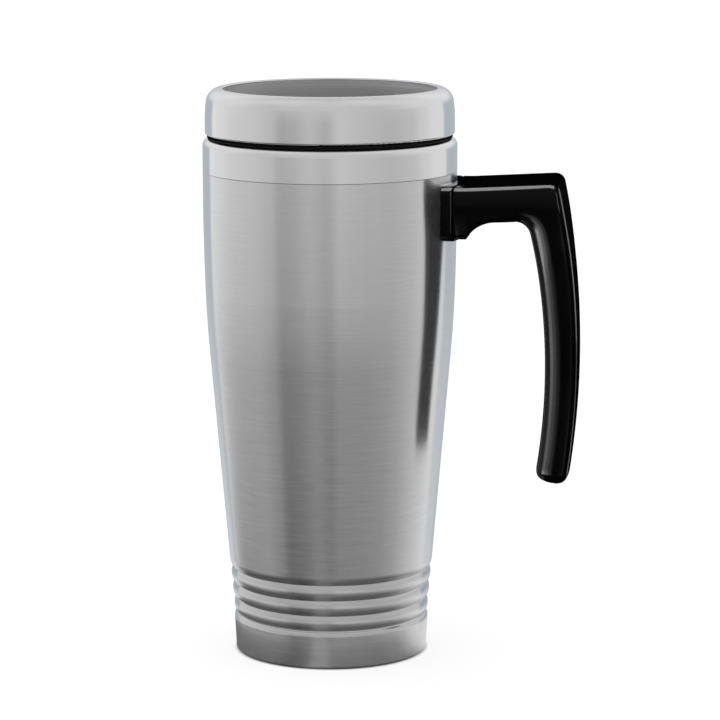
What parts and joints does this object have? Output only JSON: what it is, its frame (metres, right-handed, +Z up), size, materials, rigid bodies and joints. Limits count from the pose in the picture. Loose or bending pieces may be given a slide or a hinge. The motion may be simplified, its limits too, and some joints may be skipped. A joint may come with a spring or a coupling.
{
  "type": "insulated travel mug",
  "caption": "Tall double-walled steel travel mug, tapered body with ribs near the foot, black strap handle open at the bottom, press-in lid with steel ring and sliding sip cover.",
  "frame": {"origin": "centre of the foot, on the surface the mug stands on", "axes": "+Z up along the cup's axis; +X towards the handle; the sipping hole is on the -Y side"},
  "size_m": [0.1219, 0.0822, 0.185],
  "materials": {
    "brushed_steel": "fine brushed lines round the cup, satin",
    "polished_steel": "polished, softly reflective",
    "liner_steel": "satin, brushed round the axis",
    "foam": "rigid polyurethane foam",
    "base_steel": "satin",
    "pad_rubber": "matte, moulded grooves",
    "bracket_steel": "plain sheet steel",
    "pad_plastic": "satin black",
    "handle_plastic": "glossy black, moulded",
    "screw_steel": "zinc-plated",
    "screw_plug": "glossy black",
    "lid_steel": "polished outside, brushed inside the well",
    "lid_plastic": "fine moulded texture, black",
    "gasket": "black rubber",
    "seal_silicone": "translucent grey silicone",
    "track_plastic": "satin black",
    "track_screw_steel": "stainless",
    "slider_plastic": "black, smooth",
    "slider_silicone": "grey silicone"
  },
  "bodies": {
    "mug_body": {"outer_shell": "brushed_steel", "rim_collar": "polished_steel", "inner_liner": "liner_steel", "foam_insulation": "foam", "base_plate": "base_steel", "base_pad": "pad_rubber", "handle_bracket": "bracket_steel", "handle_pad": "pad_plastic", "handle": "handle_plastic", "handle_screws": "screw_steel", "handle_screw_plugs": "screw_plug"},
    "lid": {"lid_cover": "lid_steel", "lid_body": "lid_plastic", "rim_gasket": "gasket", "plug_seal": "seal_silicone", "slider_track": "track_plastic", "track_screws": "track_screw_steel"},
    "slider": {"slider": "slider_plastic", "slider_seal": "slider_silicone"}
  },
  "joints": [
    {"name": "lid_lift", "type": "slide", "parent": "mug_body", "child": "lid", "axis": [0, 0, 1], "range_m": [0, 0.045]},
    {"name": "slider_slide", "type": "slide", "parent": "lid", "child": "slider", "axis": [0, 1, 0], "range_m": [0, 0.012]}
  ]
}
